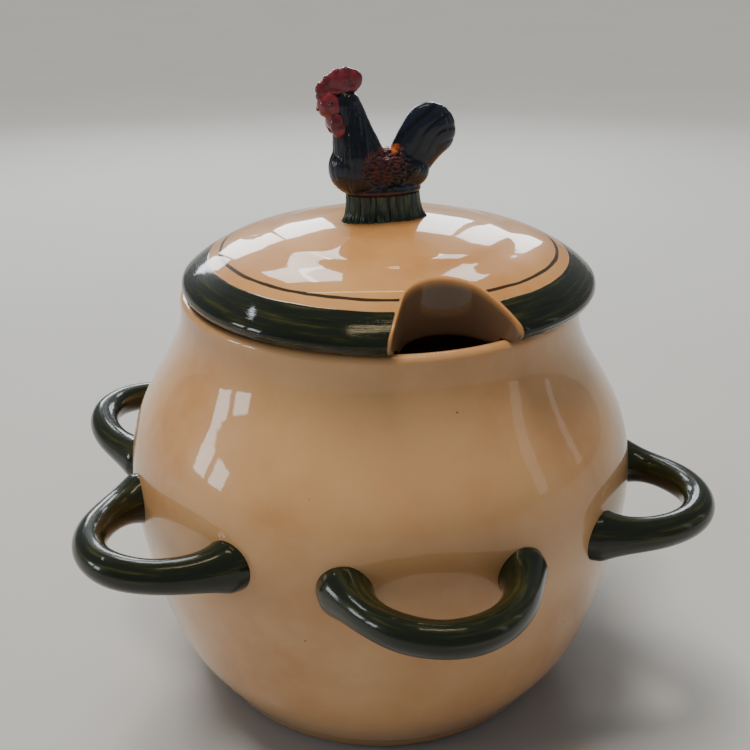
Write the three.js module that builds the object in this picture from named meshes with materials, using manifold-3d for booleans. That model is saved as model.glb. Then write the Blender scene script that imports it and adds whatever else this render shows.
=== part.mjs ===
// A glazed ceramic tureen: a round-bellied pot with six loop handles, and a domed lid with a
// ladle notch and a rooster standing on a tuft of grass as its knob.
//
// Millimetres, +Z up. The origin is the centre of the foot ring's resting plane, and the
// pot's axis is the Z axis. One handle points along -Y. The lid and everything on it are
// drawn about the lid's own axis, with the notch along -Y and the rooster facing -X, and are
// then turned by LID_TURN and moved by LID_SHIFT, as a loose lid rests in its neck.

import * as THREE from "three";
import { mergeVertices } from "three/addons/utils/BufferGeometryUtils.js";
import Module from "manifold-3d";

const wasm = await Module();
wasm.setup();

// ---------------------------------------------------------------- driving dimensions

const GAP = 0.3; // between two pieces that the potter joined

// Pot
const WALL = 6.5;
const LIP_HEIGHT = 216;
const FOOT_OUTER = 90;
const FOOT_INNER = 77;
const FOOT_RECESS = 5;
const FLOOR_HEIGHT = 13;
const POT_SIDES = 48;
const POT_STATIONS = 14;
// Outside of the wall, as [radius, height]: foot, lower belly, belly, widest girth, shoulder,
// turn into the neck, neck and lip.
const POT_OUTLINE = [
  [98, 9],
  [112, 32],
  [124, 72],
  [130, 122],
  [124, 153],
  [112, 175],
  [102, 195],
  [99.5, 211],
];

// Handles, from the one along -Y and on anticlockwise: each is half an ellipse of round bar,
// rising outwards by its tilt in degrees. They were fixed by hand, so each has its own height
// and tilt.
const HANDLE_BAR = 7.8; // radius of the bar
const HANDLE_REACH = 49.5;
const HANDLE_HALF_WIDTH = 39;
const HANDLES = [
  { name: "handle_front", height: 120, tilt: 3 },
  { name: "handle_front_right", height: 116, tilt: 2 },
  { name: "handle_back_right", height: 117, tilt: 4 },
  { name: "handle_back", height: 117, tilt: 5 },
  { name: "handle_back_left", height: 113, tilt: 10 },
  { name: "handle_front_left", height: 121, tilt: 2 },
];
const HANDLE_START = 116.4; // radius at which the half ellipse begins, inside the wall
const HANDLE_FLARE = 4.4; // how much the bar thickens where it meets the wall
const HANDLE_FLARE_LENGTH = 10;
const HANDLE_BURIED = 8; // how far the bar's ends lie inside the wall before they are cut
const HANDLE_SIDES = 4; // segments in half a turn of the bar
const HANDLE_STEPS = 20;

// Lid
const LID_TURN = THREE.MathUtils.degToRad(5.8);
const LID_SHIFT = new THREE.Vector3(4.1, -0.8, 0);
const LID_SIDES = 48;
const LID_STATIONS = 14;
const SEAT_HEIGHT = LIP_HEIGHT + GAP;
const SEAT_INNER = 83;
const FLANGE_OUTER = 88.2;
const FLANGE_THICKNESS = 5;
const FLANGE_BOTTOM = 210;
// Top of the lid from its centre to the lower edge of its rolled rim, as [radius, height].
const LID_TOP = [
  [0, 250],
  [16, 249.6],
  [34, 247.6],
  [50, 244.6],
  [60, 241.9],
  [72, 239],
  [82.4, 235.5],
  [90, 232],
  [97, 228.2],
  [101, 225],
  [102, 222],
  [100.8, 219],
  [98, 216.6],
];
// Underside of the lid from its seat back to its centre, as [radius, height].
const LID_UNDERSIDE = [
  [SEAT_INNER, SEAT_HEIGHT],
  [82, 225],
  [76, 230.5],
  [60, 235],
  [34, 240.6],
  [0, 243],
];

// Ladle notch: a half circle whose sides open outwards to the rim
const NOTCH_RADIUS = 21.2;
const NOTCH_CENTRE = 90.5; // from the lid's axis
const NOTCH_FLARE = THREE.MathUtils.degToRad(32);
const NOTCH_END = 112; // past the rim
const NOTCH_SEGMENTS = 10;
const NOTCH_WALL = 4.5;
const NOTCH_WALL_REACH = 89;
const NOTCH_WALL_BOTTOM = 212.5;

// Finial: x runs from the rooster's beak (-) to its tail (+), and z is the height
const FINIAL_SHIFT = -2.1; // along x from the lid's axis
const GRASS_HALF_LENGTH = 22;
const GRASS_HALF_WIDTH = 11;
const GRASS_BLADES = 16;
const GRASS_BLADE_RELIEF = 0.035; // as a share of the half length and half width
// Side of the grass as [share of the half length and half width, height].
const GRASS_SIDE = [
  [1.01, 244],
  [0.97, 250],
  [0.88, 256],
  [0.84, 262],
];
const BACK_CENTRE = new THREE.Vector3(-3, 0, 273);
const BACK_RADII = new THREE.Vector3(22.5, 10.4, 12);
const HEM_CENTRE = new THREE.Vector3(-1, 0, 264.2); // the body's lower edge on the grass
const HEM_RADII = new THREE.Vector3(19.4, 9.6, 3.2);
// Neck from the shoulders to the head, as [x, height], and its radius at each point.
const NECK_SPINE = [
  [-12, 274],
  [-14, 284],
  [-15.8, 292],
  [-17.3, 299],
  [-18.8, 304],
];
const NECK_RADII = [13.5, 12.3, 10.2, 8.2, 6.6];
const NECK_SIDES = 7; // segments in half a turn
const NECK_STEPS = 10;
const NECK_FLATNESS = 0.85;
const FACE_CENTRE = new THREE.Vector3(-26, 0, 303);
const FACE_RADII = new THREE.Vector3(6.6, 5.2, 7.2);
const CROWN_SHARE = 0.95; // radius of the crown's ball against the neck's end
const BEAK_RADIUS = 2.4;
const BEAK_LENGTH = 6;
const BEAK_CENTRE = new THREE.Vector3(-31.5, 0, 303);
const BEAK_DROOP = 0.2; // radians below level
const COMB_THICKNESS = 5;
const TAIL_THICKNESS = 10.5;
const WING_THICKNESS = 3;
const WING_OFFSET = 9.6; // from the middle plane
const WATTLE_THICKNESS = 3.4;
const WATTLE_OFFSET = 5.6;
const EYE_RADIUS = 1.3;
const EYE_CENTRE = new THREE.Vector3(-27.3, 4.9, 305.2); // of the rooster's right eye
const PLATE_ROUNDING = 0.28; // edge radius as a share of a plate's thickness
const OUTLINE_SEGMENTS = 2; // segments of the curve between two points of a plate's outline
const BALL_SIDES = 10;

// ---------------------------------------------------------------- glazes

function glaze(color, roughness) {
  return new THREE.MeshStandardMaterial({ color, roughness, metalness: 0 });
}

const ivoryGlaze = () => glaze(0xc9a882, 0.18);
const greenGlaze = () => glaze(0x20281a, 0.22);
const redGlaze = () => glaze(0x96281e, 0.3);
const darkGlaze = () => glaze(0x14171c, 0.28);
const rustGlaze = () => glaze(0x8a3a18, 0.32);
const eyeGlaze = () => glaze(0x0b0b0a, 0.15);

// ---------------------------------------------------------------- shapes and solids

// Turns an [a, b] list into two-dimensional points.
function points2(list) {
  return list.map(([a, b]) => new THREE.Vector2(a, b));
}

// A smooth curve through a few points, sampled evenly.
function smooth(list, stations) {
  return new THREE.SplineCurve(points2(list)).getSpacedPoints(stations);
}

// The closed solid of a three.js geometry, with shared vertices merged.
function solidOf(geometry) {
  const bare = geometry.clone();
  bare.deleteAttribute("normal");
  bare.deleteAttribute("uv");
  const merged = mergeVertices(bare, 1e-4);
  const index = merged.index.array;
  const triangles = [];
  for (let i = 0; i < index.length; i += 3) {
    const [a, b, c] = [index[i], index[i + 1], index[i + 2]];
    if (a !== b && b !== c && c !== a) {
      triangles.push(a, b, c);
    }
  }
  const vertProperties = Float32Array.from(merged.attributes.position.array);
  const triVerts = Uint32Array.from(triangles);
  return new wasm.Manifold(new wasm.Mesh({ numProp: 3, vertProperties, triVerts }));
}

// The geometry of a solid.
function geometryOf(solid) {
  const mesh = solid.getMesh();
  const geometry = new THREE.BufferGeometry();
  geometry.setAttribute("position", new THREE.BufferAttribute(mesh.vertProperties, 3));
  geometry.setIndex(new THREE.BufferAttribute(mesh.triVerts, 1));
  geometry.computeVertexNormals();
  return geometry;
}

// A turned solid about the Z axis. The outline is [radius, height] points, outside upwards.
function turned(outline, sides) {
  const geometry = new THREE.LatheGeometry(outline, sides);
  geometry.rotateX(Math.PI / 2);
  return solidOf(geometry);
}

// A flat outline in the XY plane raised from one height to another.
function raised(shape, bottom, top, curveSegments) {
  const depth = top - bottom;
  const geometry = new THREE.ExtrudeGeometry(shape, { depth, bevelEnabled: false, curveSegments });
  geometry.translate(0, 0, bottom);
  return solidOf(geometry);
}

// An outline drawn in the XZ plane as a plate centred on y, with its edges rounded off.
function upright(shape, y, thickness) {
  const rounding = thickness * PLATE_ROUNDING;
  const depth = thickness - 2 * rounding;
  const geometry = new THREE.ExtrudeGeometry(shape, {
    depth,
    curveSegments: OUTLINE_SEGMENTS,
    bevelThickness: rounding,
    bevelSize: rounding,
    bevelOffset: -rounding,
    bevelSegments: 2,
  });
  geometry.translate(0, 0, -depth / 2);
  geometry.rotateX(Math.PI / 2);
  geometry.translate(0, y, 0);
  return solidOf(geometry);
}

// A closed outline through a few points.
function rounded(list) {
  const shape = new THREE.Shape();
  const [start, ...rest] = points2(list);
  shape.moveTo(start.x, start.y);
  shape.splineThru([...rest, start]);
  return shape;
}

// An egg: a ball stretched to three half lengths.
function egg(centre, radii) {
  const geometry = new THREE.SphereGeometry(1, BALL_SIDES, BALL_SIDES / 2);
  geometry.rotateX(Math.PI / 2);
  geometry.scale(radii.x, radii.y, radii.z);
  geometry.translate(centre.x, centre.y, centre.z);
  return solidOf(geometry);
}

// A round bar along a curve. radiusAt gives its radius from 0 to 1 along it, and flatness
// narrows it across.
function bar(curve, radiusAt, halfTurnSides, steps, flatness = 1) {
  const circle = new THREE.Shape();
  circle.absarc(0, 0, 1, 0, 2 * Math.PI);
  const geometry = new THREE.ExtrudeGeometry(circle, {
    steps,
    curveSegments: halfTurnSides,
    bevelEnabled: false,
    extrudePath: curve,
  });
  const stations = curve.getSpacedPoints(steps);
  const position = geometry.attributes.position;
  const vertex = new THREE.Vector3();
  for (let i = 0; i < position.count; i += 1) {
    vertex.fromBufferAttribute(position, i);
    const distances = stations.map((station) => station.distanceTo(vertex));
    const nearest = distances.indexOf(Math.min(...distances));
    const radius = radiusAt(nearest / steps);
    vertex.sub(stations[nearest]).multiplyScalar(radius);
    vertex.y *= flatness;
    vertex.add(stations[nearest]);
    position.setXYZ(i, vertex.x, vertex.y, vertex.z);
  }
  return solidOf(geometry);
}

function named(name, solid, material) {
  const mesh = new THREE.Mesh(geometryOf(solid), material);
  mesh.name = name;
  return mesh;
}

// ---------------------------------------------------------------- pot

// The pot's closed outline, hollow and open at the top.
function potOutline() {
  const curve = new THREE.SplineCurve(points2(POT_OUTLINE));
  const outside = [];
  const inside = [];
  for (let i = 0; i <= POT_STATIONS; i += 1) {
    const point = curve.getPointAt(i / POT_STATIONS);
    const along = curve.getTangentAt(i / POT_STATIONS);
    outside.push(point);
    inside.unshift(new THREE.Vector2(point.x - along.y * WALL, point.y + along.x * WALL));
  }
  const lipRadius = WALL / 2;
  const neck = outside[POT_STATIONS];
  const lipCentre = new THREE.Vector2(neck.x - lipRadius, LIP_HEIGHT - lipRadius);
  const lip = [30, 60, 90, 120, 150].map((degrees) => {
    const angle = THREE.MathUtils.degToRad(degrees);
    const offset = new THREE.Vector2(Math.cos(angle), Math.sin(angle));
    return offset.multiplyScalar(lipRadius).add(lipCentre);
  });
  const underside = points2([
    [0, FOOT_RECESS],
    [FOOT_INNER - 3, FOOT_RECESS],
    [FOOT_INNER, 0],
    [FOOT_OUTER, 0],
    [FOOT_OUTER + 3.5, 3],
  ]);
  const insideWall = inside.filter((point) => point.y > FLOOR_HEIGHT + 3);
  const floor = points2([
    [insideWall.at(-1).x - 6, FLOOR_HEIGHT],
    [0, FLOOR_HEIGHT],
  ]);
  return [...underside, ...outside, ...lip, ...insideWall, ...floor];
}

// The pot as if it were solid, grown outwards, for cutting the handles.
function potMass(growth) {
  const outline = points2(POT_OUTLINE).map((point) => new THREE.Vector2(point.x + growth, point.y));
  const wall = new THREE.SplineCurve(outline).getSpacedPoints(POT_STATIONS);
  const bottom = new THREE.Vector2(0, wall[0].y);
  const top = new THREE.Vector2(0, wall[POT_STATIONS].y);
  return turned([bottom, ...wall, top], POT_SIDES);
}

// Centreline of a handle that points along -Y.
class HandleLine extends THREE.Curve {
  constructor(handle) {
    super();
    this.handle = handle;
    this.tilt = THREE.MathUtils.degToRad(handle.tilt);
  }

  getPoint(t, target = new THREE.Vector3()) {
    const angle = Math.PI * t;
    const out = HANDLE_REACH * Math.sin(angle);
    return target.set(
      -HANDLE_HALF_WIDTH * Math.cos(angle),
      -HANDLE_START - out * Math.cos(this.tilt),
      this.handle.height + out * Math.sin(this.tilt),
    );
  }
}

// A handle that points along -Y, thicker where it runs into the wall, and stopping just
// short of it.
function handleSolid(handle) {
  const line = new HandleLine(handle);
  const length = line.getLength();
  const radiusAt = (t) => {
    const fromWall = Math.min(t, 1 - t) * length - HANDLE_BURIED;
    return HANDLE_BAR + HANDLE_FLARE * Math.exp(-Math.max(fromWall, 0) / HANDLE_FLARE_LENGTH);
  };
  return bar(line, radiusAt, HANDLE_SIDES, HANDLE_STEPS).subtract(potMass(GAP));
}

function pot() {
  const group = new THREE.Group();
  group.add(named("pot_body", turned(potOutline(), POT_SIDES), ivoryGlaze()));
  HANDLES.forEach((handle, i) => {
    const mesh = named(handle.name, handleSolid(handle), greenGlaze());
    mesh.rotation.z = (i * 2 * Math.PI) / HANDLES.length;
    group.add(mesh);
  });
  return group;
}

// ---------------------------------------------------------------- lid

// The notch's outline seen from above, grown on every side.
function notchShape(growth) {
  const radius = NOTCH_RADIUS + growth;
  const edge = new THREE.Vector2(
    radius * Math.cos(NOTCH_FLARE),
    -NOTCH_CENTRE + radius * Math.sin(NOTCH_FLARE),
  );
  const mouth = edge.x + (NOTCH_END + edge.y) * Math.tan(NOTCH_FLARE);
  const shape = new THREE.Shape();
  shape.moveTo(mouth, -NOTCH_END);
  shape.lineTo(edge.x, edge.y);
  shape.absarc(0, -NOTCH_CENTRE, radius, NOTCH_FLARE, Math.PI - NOTCH_FLARE);
  shape.lineTo(-mouth, -NOTCH_END);
  return shape;
}

// The notch as a block from one height up to above the lid.
function notchPrism(growth, bottom) {
  const top = LID_TOP[0][1] + 1;
  return raised(notchShape(growth), bottom, top, NOTCH_SEGMENTS);
}

// The notch as a block through the whole lid, for cutting it out.
function notchCutter(growth) {
  return notchPrism(growth, FLANGE_BOTTOM - 1);
}

function lidShell() {
  const top = smooth(LID_TOP, LID_STATIONS).reverse();
  const underside = points2(LID_UNDERSIDE);
  const seat = new THREE.Vector2(top[0].x - 1.5, SEAT_HEIGHT);
  const outline = [seat, ...top, ...underside.slice().reverse()];
  outline.push(seat);
  return turned(outline, LID_SIDES).subtract(notchCutter(0));
}

// The space under the lid, down to the flange's lower edge.
function lidHollow() {
  const roof = LID_UNDERSIDE.slice(1).map(([radius, height]) => {
    return [Math.max(radius - GAP, 0), height - GAP];
  });
  const outline = points2([
    [0, FLANGE_BOTTOM],
    [NOTCH_WALL_REACH, FLANGE_BOTTOM],
    [NOTCH_WALL_REACH, SEAT_HEIGHT - GAP],
    [SEAT_INNER - GAP, SEAT_HEIGHT - GAP],
    ...roof,
  ]);
  return turned(outline, LID_SIDES);
}

// The wall that turns down round the notch and closes the lid's hollow edge.
function notchWall() {
  const block = notchPrism(NOTCH_WALL, NOTCH_WALL_BOTTOM);
  return block.subtract(notchCutter(0)).intersect(lidHollow());
}

// The ring under the lid that keeps it in the neck, with side play.
function lidFlange() {
  const outline = points2([
    [FLANGE_OUTER - FLANGE_THICKNESS, FLANGE_BOTTOM],
    [FLANGE_OUTER - 1, FLANGE_BOTTOM],
    [FLANGE_OUTER, FLANGE_BOTTOM + 1],
    [FLANGE_OUTER, SEAT_HEIGHT - GAP],
    [FLANGE_OUTER - FLANGE_THICKNESS, SEAT_HEIGHT - GAP],
    [FLANGE_OUTER - FLANGE_THICKNESS, FLANGE_BOTTOM],
  ]);
  return turned(outline, LID_SIDES).subtract(notchCutter(NOTCH_WALL + GAP));
}

// The lid's upper surface as a solid, raised by the gap, for cutting what stands on it.
function lidMass() {
  const top = smooth(LID_TOP, LID_STATIONS).reverse();
  const outline = top.map((point) => new THREE.Vector2(point.x, point.y + GAP));
  return turned([new THREE.Vector2(0, outline[0].y), ...outline], LID_SIDES);
}

// ---------------------------------------------------------------- rooster

// Back, breast and neck in one piece, grown on every side.
function roosterBody(growth) {
  const grown = new THREE.Vector3(growth, growth, growth);
  const back = egg(BACK_CENTRE, BACK_RADII.clone().add(grown));
  const spine = new THREE.CatmullRomCurve3(NECK_SPINE.map(([x, z]) => new THREE.Vector3(x, 0, z)));
  const radiusAt = (t) => {
    const place = t * (NECK_RADII.length - 1);
    const below = Math.min(Math.floor(place), NECK_RADII.length - 2);
    const mixed = THREE.MathUtils.lerp(NECK_RADII[below], NECK_RADII[below + 1], place - below);
    return mixed + growth;
  };
  const neck = bar(spine, radiusAt, NECK_SIDES, NECK_STEPS, NECK_FLATNESS);
  const crownRadius = radiusAt(1) * CROWN_SHARE;
  const crownRadii = new THREE.Vector3(crownRadius, crownRadius * NECK_FLATNESS, crownRadius);
  const crown = egg(spine.getPoint(1), crownRadii);
  const hem = egg(HEM_CENTRE, HEM_RADII.clone().add(grown));
  return back.add(hem).add(neck).add(crown);
}

// A tuft of grass: an oval drum, wider at the bottom, with its blades standing out round it.
function grassBase() {
  const bottom = GRASS_SIDE[0][1];
  const top = GRASS_SIDE.at(-1)[1];
  const outline = points2([[0, bottom], ...GRASS_SIDE, [0, top]]);
  const geometry = new THREE.LatheGeometry(outline, GRASS_BLADES * 2);
  geometry.rotateX(Math.PI / 2);
  const position = geometry.attributes.position;
  for (let i = 0; i < position.count; i += 1) {
    const angle = Math.atan2(position.getY(i), position.getX(i));
    const blade = 1 + GRASS_BLADE_RELIEF * Math.cos(angle * GRASS_BLADES);
    position.setX(i, position.getX(i) * GRASS_HALF_LENGTH * blade);
    position.setY(i, position.getY(i) * GRASS_HALF_WIDTH * blade);
  }
  const ground = lidMass().translate(-FINIAL_SHIFT, 0, 0);
  return solidOf(geometry).subtract(ground).subtract(roosterBody(GAP));
}

function tailShape() {
  return rounded([
    [6, 270],
    [18.6, 265.5],
    [24.2, 274.4],
    [31.4, 282.6],
    [35.6, 291],
    [31.5, 299.5],
    [22.5, 303.3],
    [14, 300.6],
    [8.2, 292.8],
    [3.8, 284],
  ]);
}

function combShape() {
  return rounded([
    [-28.5, 306],
    [-33, 309.5],
    [-32, 313.6],
    [-28, 317],
    [-24, 319.5],
    [-18, 321],
    [-12.3, 320],
    [-10.9, 316.5],
    [-13.3, 311],
    [-18, 308.5],
    [-23.5, 307.5],
  ]);
}

function wingShape() {
  return rounded([
    [-13, 276],
    [-5, 281],
    [8, 279.5],
    [18, 273],
    [10, 267.5],
    [-6, 267],
  ]);
}

function wattleShape() {
  return rounded([
    [-28.6, 297.5],
    [-27.4, 292.5],
    [-23.5, 290],
    [-20.5, 293.5],
    [-23, 299.5],
  ]);
}

// The beak's cone, pointing forwards and a little down.
function beakCone() {
  const geometry = new THREE.ConeGeometry(BEAK_RADIUS, BEAK_LENGTH, BALL_SIDES);
  geometry.rotateX(Math.PI / 2);
  geometry.rotateY(-Math.PI / 2 - BEAK_DROOP);
  geometry.translate(BEAK_CENTRE.x, BEAK_CENTRE.y, BEAK_CENTRE.z);
  return solidOf(geometry);
}

// Adds a piece on each flank. make is given -1 for the rooster's left and 1 for its right.
function addPair(group, name, make, material) {
  group.add(named(`${name}_left`, make(-1), material()));
  group.add(named(`${name}_right`, make(1), material()));
}

function finial() {
  const group = new THREE.Group();
  const cutter = roosterBody(GAP);
  const face = egg(FACE_CENTRE, FACE_RADII).subtract(cutter);
  const faceCutter = egg(FACE_CENTRE, FACE_RADII.clone().addScalar(GAP));
  const trim = (solid) => solid.subtract(cutter).subtract(faceCutter);

  group.add(named("grass_base", grassBase(), greenGlaze()));
  group.add(named("rooster_body", roosterBody(0), darkGlaze()));
  group.add(named("rooster_face", face, redGlaze()));

  const tail = upright(tailShape(), 0, TAIL_THICKNESS).subtract(cutter);
  group.add(named("rooster_tail", tail, darkGlaze()));

  const comb = trim(upright(combShape(), 0, COMB_THICKNESS));
  group.add(named("rooster_comb", comb, redGlaze()));

  group.add(named("rooster_beak", trim(beakCone()), rustGlaze()));

  const wing = (side) => upright(wingShape(), side * WING_OFFSET, WING_THICKNESS).subtract(cutter);
  addPair(group, "rooster_wing", wing, rustGlaze);

  const wattle = (side) => trim(upright(wattleShape(), side * WATTLE_OFFSET, WATTLE_THICKNESS));
  addPair(group, "rooster_wattle", wattle, redGlaze);

  const eyeRadii = new THREE.Vector3(EYE_RADIUS, EYE_RADIUS, EYE_RADIUS);
  const eyeFlip = (side) => new THREE.Vector3(1, side, 1);
  const eye = (side) => trim(egg(EYE_CENTRE.clone().multiply(eyeFlip(side)), eyeRadii));
  addPair(group, "rooster_eye", eye, eyeGlaze);
  group.position.x = FINIAL_SHIFT;
  return group;
}

function lid() {
  const group = new THREE.Group();
  group.add(named("lid_shell", lidShell(), ivoryGlaze()));
  group.add(named("lid_notch_wall", notchWall(), ivoryGlaze()));
  group.add(named("lid_flange", lidFlange(), ivoryGlaze()));
  group.add(finial());
  group.rotation.z = LID_TURN;
  group.position.copy(LID_SHIFT);
  return group;
}

// ---------------------------------------------------------------- the tureen

const tureen = new THREE.Group();
tureen.add(pot());
tureen.add(lid());

export default tureen;
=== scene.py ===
"""A glazed ceramic tureen with six loop handles, and a domed lid whose knob is a rooster.

Shapes are drawn in millimetres in the CAD frame: the pot's axis is Z and its foot stands on
z = 0. The lid and the rooster are drawn about their own axes, with the ladle notch along -Y
and the rooster facing -X, and are then turned and placed where the CAD has them.
"""

import math

import bmesh
import bpy
import numpy as np
from mathutils import Euler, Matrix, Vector, noise


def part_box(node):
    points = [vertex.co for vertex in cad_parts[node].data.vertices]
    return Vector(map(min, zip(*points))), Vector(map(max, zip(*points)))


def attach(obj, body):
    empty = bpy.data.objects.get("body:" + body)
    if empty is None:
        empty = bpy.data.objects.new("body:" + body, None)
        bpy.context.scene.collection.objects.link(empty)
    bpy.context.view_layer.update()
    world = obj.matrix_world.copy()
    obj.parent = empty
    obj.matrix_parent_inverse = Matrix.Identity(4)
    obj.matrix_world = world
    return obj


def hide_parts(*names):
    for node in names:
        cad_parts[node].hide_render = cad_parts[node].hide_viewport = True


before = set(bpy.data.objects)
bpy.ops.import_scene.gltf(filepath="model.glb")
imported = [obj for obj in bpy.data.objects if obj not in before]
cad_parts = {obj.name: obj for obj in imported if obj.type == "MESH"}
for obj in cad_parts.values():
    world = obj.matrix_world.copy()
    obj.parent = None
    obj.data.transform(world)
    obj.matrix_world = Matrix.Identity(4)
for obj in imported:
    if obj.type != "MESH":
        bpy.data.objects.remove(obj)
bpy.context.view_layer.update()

MM = 0.001

# ---------------------------------------------------------------- sizes, from the frame

POT_LOW, POT_HIGH = (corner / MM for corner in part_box("pot_body"))
LID_LOW, LID_HIGH = (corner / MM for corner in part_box("lid_shell"))
LIP = POT_HIGH.z
BELLY = POT_HIGH.x
SEAT = LID_LOW.z
LID_TURN = math.radians(5.8)
LID_RADIUS = 102
LID_AXIS = ((LID_LOW.x + LID_HIGH.x) / 2, LID_HIGH.y - (LID_HIGH.x - LID_LOW.x) / 2)
GRASS_LOW, GRASS_HIGH = (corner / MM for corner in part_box("grass_base"))
FINIAL_AXIS = ((GRASS_LOW.x + GRASS_HIGH.x) / 2, (GRASS_LOW.y + GRASS_HIGH.y) / 2)

# Pot: outside from above the foot to the neck, as (radius, height)
WALL = 6.5
FLOOR = 13
POT_SIDES = 224
FOOT_OUTLINE = [(0, 5), (73, 5), (76, 3.2), (78, 0), (88, 0), (91.5, 1), (94.3, 3.6), (96, 7.2)]
FOOT_GROOVE = [(95.6, 8.1), (96.4, 9.0)]
POT_OUTLINE = [
    (98.2, 10.2),
    (112, 32),
    (124, 72),
    (130, 122),
    (124, 153),
    (112, 175),
    (102, 195),
    (99.5, 205),
    (99.3, 211.5),
]

# Handles, anticlockwise from the one along -Y, as drawn in the CAD: height, and tilt in degrees
HANDLES = {
    "front": (120, 3),
    "front_right": (116, 2),
    "back_right": (117, 4),
    "back": (117, 5),
    "back_left": (113, 10),
    "front_left": (121, 2),
}
HANDLE_BAR = 7.8
HANDLE_REACH = 49.5
HANDLE_HALF_WIDTH = 39
HANDLE_START = 116.4
HANDLE_ROOT = 125
HANDLE_FLARE = 4.6
HANDLE_FLARE_LENGTH = 9

# Lid
LID_TOP = [
    (0, 250),
    (16, 249.6),
    (34, 247.7),
    (48, 245.2),
    (56, 243.4),
    (61, 241.8),
    (67, 240.2),
    (75, 238.2),
    (82.4, 235.6),
    (88.4, 232.6),
    (94, 229.3),
    (99, 225.6),
    (104, 221),
]
LID_UNDERSIDE = [(0, 243), (20, 242.2), (40, 239.3), (60, 235), (76, 230.3), (86, 226)]
SEAT_INNER = 84
RIM_ROLL = 5.2
NOTCH_RADIUS = 21.2
NOTCH_CENTRE = 90.5
NOTCH_FLARE = math.radians(32)
NOTCH_EDGE = 1.9
NOTCH_WALL = 4.5
NOTCH_WALL_BOTTOM = 212.5
FLANGE_BOTTOM = 210
FLANGE = (83.2, 88.2)
BAND_START = 88.4
LINE_RADIUS = 82.4

# Grass
GRASS_TOP = 262
GRASS_SIZE = (22, 11)
GRASS_BLADES = 54


# ---------------------------------------------------------------- curves and meshes


def spline(points):
    """A curvature-continuous curve through points, as a function of its length from 0 to 1."""
    p = np.array(points, float)
    t = np.r_[0, np.cumsum(np.linalg.norm(np.diff(p, axis=0), axis=1))]
    h = np.diff(t)
    count = len(t)
    a = np.eye(count)
    b = np.zeros_like(p)
    slope = np.diff(p, axis=0) / h[:, None]
    for i in range(1, count - 1):
        a[i, i - 1 : i + 2] = h[i - 1], 2 * (h[i - 1] + h[i]), h[i]
        b[i] = 6 * (slope[i] - slope[i - 1])
    bend = np.linalg.solve(a, b)

    def at(u):
        s = np.clip(np.asarray(u, float), 0, 1) * t[-1]
        k = np.clip(np.searchsorted(t, s, side="right") - 1, 0, count - 2)
        left = (s - t[k])[:, None]
        right = (t[k + 1] - s)[:, None]
        gap = h[k][:, None]
        curve = (bend[k] * right**3 + bend[k + 1] * left**3) / (6 * gap)
        curve += (p[k] / gap - bend[k] * gap / 6) * right
        curve += (p[k + 1] / gap - bend[k + 1] * gap / 6) * left
        return curve

    return at


def evenly(points, count):
    """count + 1 points, evenly spaced along the smooth curve through points."""
    fine = spline(points)(np.linspace(0, 1, count * 12 + 1))
    length = np.r_[0, np.cumsum(np.linalg.norm(np.diff(fine, axis=0), axis=1))]
    wanted = np.linspace(0, length[-1], count + 1)
    return np.stack([np.interp(wanted, length, column) for column in fine.T], axis=1)


def graph(points):
    """The smooth curve through (radius, height) points as a function of radius."""
    fine = spline(points)(np.linspace(0, 1, 2000))
    return lambda radius: np.interp(radius, fine[:, 0], fine[:, 1])


def smoothstep(low, high, value):
    t = np.clip((value - low) / (high - low), 0, 1)
    return t * t * (3 - 2 * t)


def grid_faces(rows, columns, closed_rows=False, closed_columns=False):
    """Four-sided faces of a rows by columns grid of points, numbered row by row."""
    r = np.arange(rows if closed_rows else rows - 1)
    c = np.arange(columns if closed_columns else columns - 1)
    r, c = (axis.ravel() for axis in np.meshgrid(r, c, indexing="ij"))
    r_next, c_next = (r + 1) % rows, (c + 1) % columns
    corners = (r * columns + c, r * columns + c_next, r_next * columns + c_next, r_next * columns + c)
    return np.stack(corners, axis=1)


def set_attributes(mesh, attributes):
    """Stores a number, or three, for each vertex, for the materials to read."""
    for name, values in attributes.items():
        values = np.asarray(values, np.float32)
        kind = "FLOAT" if values.ndim == 1 else "FLOAT_VECTOR"
        layer = mesh.attributes.new(name, kind, "POINT")
        layer.data.foreach_set("value" if values.ndim == 1 else "vector", values.ravel())


def make_mesh(points, faces, attributes=None):
    """A smooth-shaded mesh in metres from points in millimetres, coincident points welded."""
    mesh = bpy.data.meshes.new("mesh")
    mesh.from_pydata((np.asarray(points) * MM).tolist(), [], [list(face) for face in faces])
    set_attributes(mesh, attributes or {})
    bm = bmesh.new()
    bm.from_mesh(mesh)
    bmesh.ops.remove_doubles(bm, verts=bm.verts, dist=1e-6)
    bmesh.ops.recalc_face_normals(bm, faces=bm.faces)
    bm.to_mesh(mesh)
    bm.free()
    mesh.polygons.foreach_set("use_smooth", [True] * len(mesh.polygons))
    return mesh


def add_piece(name, mesh, material, body, replaces):
    """A piece of the object, made of mesh, which moves with body and stands for CAD nodes."""
    mesh.name = name
    piece = bpy.data.objects.new(name, mesh)
    bpy.context.scene.collection.objects.link(piece)
    mesh.materials.append(material)
    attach(piece, body)
    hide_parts(*replaces)
    return piece


def turned(outline, sides):
    """Points and faces of a closed (radius, height) outline turned about Z."""
    outline = np.asarray(outline, float)
    angle = np.linspace(0, 2 * np.pi, sides, endpoint=False)
    x = outline[:, :1] * np.cos(angle)
    y = outline[:, :1] * np.sin(angle)
    z = np.repeat(outline[:, 1:], sides, axis=1)
    points = np.stack([x, y, z], axis=-1).reshape(-1, 3)
    return points, grid_faces(len(outline), sides, closed_columns=True)


def turn(points, angle):
    """Points turned about the Z axis."""
    c, s = math.cos(angle), math.sin(angle)
    x, y, z = np.asarray(points, float).T
    return np.stack([x * c - y * s, x * s + y * c, z], axis=1)


def on_axis(points, axis):
    """Points drawn about an axis of their own, turned with the lid and placed on that axis."""
    return turn(points, LID_TURN) + (*axis, 0)


# ---------------------------------------------------------------- materials


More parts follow.
